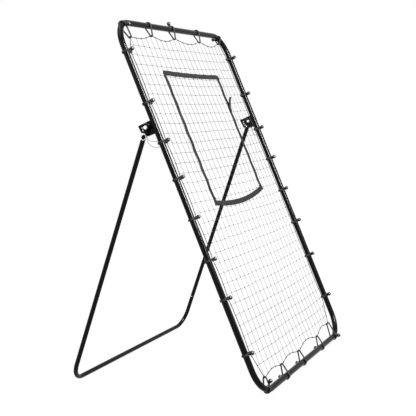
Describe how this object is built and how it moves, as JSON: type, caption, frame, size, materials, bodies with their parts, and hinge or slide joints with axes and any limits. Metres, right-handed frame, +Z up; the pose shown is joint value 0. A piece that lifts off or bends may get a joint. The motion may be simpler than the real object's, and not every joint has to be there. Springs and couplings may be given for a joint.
{
  "type": "pitch back rebounder",
  "caption": "Leaning steel-tube frame with a knotted ball net on elastic loops, a webbing target and a folding rear leg with lock pins.",
  "frame": {"origin": "centre of the object's footprint box, on the floor", "axes": "+X across the frame, -Y towards the thrower, +Y towards the rear leg, +Z up"},
  "size_m": [1.185, 0.9796, 1.6464],
  "materials": {
    "black_powder_coat": "gloss",
    "zinc_steel": "satin",
    "black_plastic": "gloss",
    "grey_cord": "matte",
    "black_netting": "matte",
    "black_elastic": "matte",
    "grey_webbing": "matte"
  },
  "bodies": {
    "frame": {"top_frame_tube": "black_powder_coat", "bottom_frame_tube": "black_powder_coat", "side_tube_left": "black_powder_coat", "side_tube_right": "black_powder_coat", "bracket_plate_left": "black_powder_coat", "bracket_plate_right": "black_powder_coat", "plate_welds": "black_powder_coat", "pivot_bolts": "zinc_steel", "pivot_nuts": "zinc_steel", "pivot_washers": "zinc_steel", "pivot_spacers": "black_plastic", "net": "black_netting", "net_border_cord": "black_netting", "elastic_loops_side": "black_elastic", "elastic_loops_top": "black_elastic", "elastic_loops_bottom": "black_elastic", "elastic_loops_corner": "black_elastic", "bungee_balls": "black_plastic", "target_band": "grey_webbing", "target_band_tail": "grey_webbing", "pin_lanyard_left": "grey_cord", "pin_lanyard_right": "grey_cord"},
    "leg": {"leg_tube_left": "black_powder_coat", "leg_tube_right": "black_powder_coat", "leg_bow": "black_powder_coat", "leg_end_caps": "black_plastic", "button_spring_left": "zinc_steel", "button_spring_right": "zinc_steel"},
    "lock_pin_left": {"lock_pin_left": "zinc_steel"},
    "lock_pin_right": {"lock_pin_right": "zinc_steel"},
    "pin_ring_left": {"pin_ring_left": "zinc_steel"},
    "pin_ring_right": {"pin_ring_right": "zinc_steel"},
    "snap_button_left": {"snap_button_left": "zinc_steel"},
    "snap_button_right": {"snap_button_right": "zinc_steel"}
  },
  "joints": [
    {"name": "leg_fold", "type": "hinge", "parent": "frame", "child": "leg", "pos_m": [0, 0.01183, 1.15145], "axis": [1, 0, 0], "range_deg": [-41, 0]},
    {"name": "lock_pin_left_slide", "type": "slide", "parent": "frame", "child": "lock_pin_left", "axis": [-1, 0, 0], "range_m": [0, 0.036], "deforming": ["pin_lanyard_left"]},
    {"name": "lock_pin_right_slide", "type": "slide", "parent": "frame", "child": "lock_pin_right", "axis": [1, 0, 0], "range_m": [0, 0.036], "deforming": ["pin_lanyard_right"]},
    {"name": "pin_ring_left_swing", "type": "hinge", "parent": "lock_pin_left", "child": "pin_ring_left", "pos_m": [-0.587, 0.02321, 1.12409], "axis": [0, 1, 0], "range_deg": [-8, 90]},
    {"name": "pin_ring_right_swing", "type": "hinge", "parent": "lock_pin_right", "child": "pin_ring_right", "pos_m": [0.587, 0.02321, 1.12409], "axis": [0, -1, 0], "range_deg": [-8, 90]},
    {"name": "snap_button_left_press", "type": "slide", "parent": "leg", "child": "snap_button_left", "axis": [-1, 0, 0], "range_m": [0, 0.0032], "stiffness_N_per_m": 800, "deforming": ["button_spring_left"]},
    {"name": "snap_button_right_press", "type": "slide", "parent": "leg", "child": "snap_button_right", "axis": [1, 0, 0], "range_m": [0, 0.0032], "stiffness_N_per_m": 800, "deforming": ["button_spring_right"]}
  ]
}
